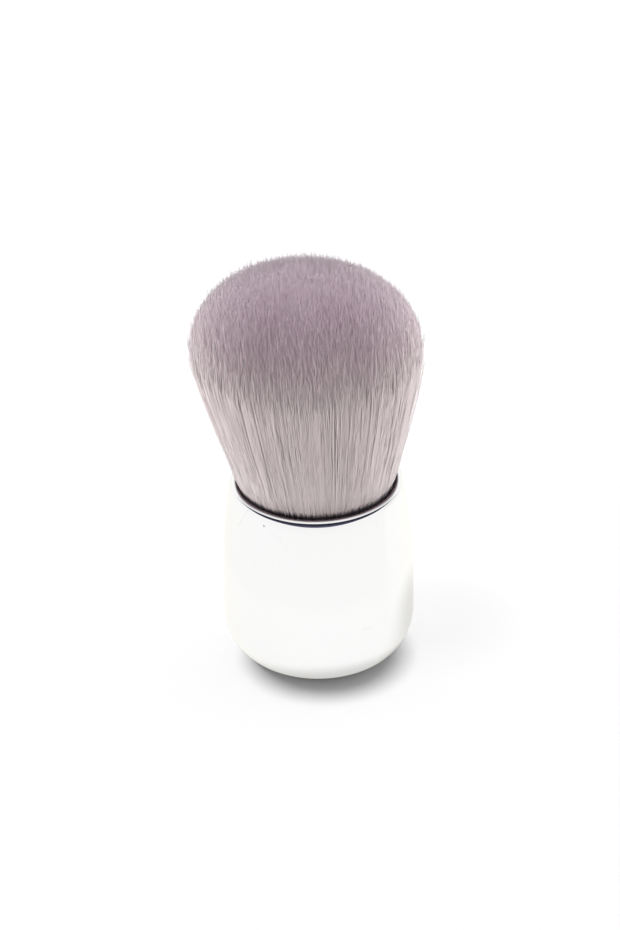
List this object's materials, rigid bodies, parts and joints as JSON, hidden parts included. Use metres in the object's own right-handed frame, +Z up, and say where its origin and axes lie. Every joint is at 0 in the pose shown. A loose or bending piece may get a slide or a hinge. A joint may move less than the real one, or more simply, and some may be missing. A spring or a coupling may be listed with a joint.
{
  "type": "nail dust brush",
  "caption": "Short standing brush with a weighted silver-plated barrel handle, a rounded lip and a wide domed head of soft mauve-tipped bristle for sweeping filing dust off nails.",
  "frame": {"origin": "centre of the flat base that the brush stands on", "axes": "+Z up along the handle's axis from the base to the bristle head; the head leans slightly towards -X; -Y faces the viewer of the picture"},
  "size_m": [0.0397, 0.0398, 0.075],
  "materials": {
    "plated_silver": "mirror silver plating on moulded plastic",
    "melt_glue": "cream hot-melt glue",
    "turned_steel": "plain turned steel",
    "drawn_aluminium": "plain drawn aluminium",
    "cast_resin": "amber cast resin",
    "cotton_thread": "off-white cotton thread",
    "mauve_bristle": "fine tapered synthetic filament, beige-grey with mauve tips"
  },
  "bodies": {
    "root": {"handle_shell": "plated_silver", "weight_pad": "melt_glue", "counterweight": "turned_steel", "ferrule_cup": "drawn_aluminium", "root_plug": "cast_resin", "knot_binding": "cotton_thread", "bristles_core": "mauve_bristle", "bristles_inner": "mauve_bristle", "bristles_middle": "mauve_bristle", "bristles_outer": "mauve_bristle"}
  },
  "joints": []
}
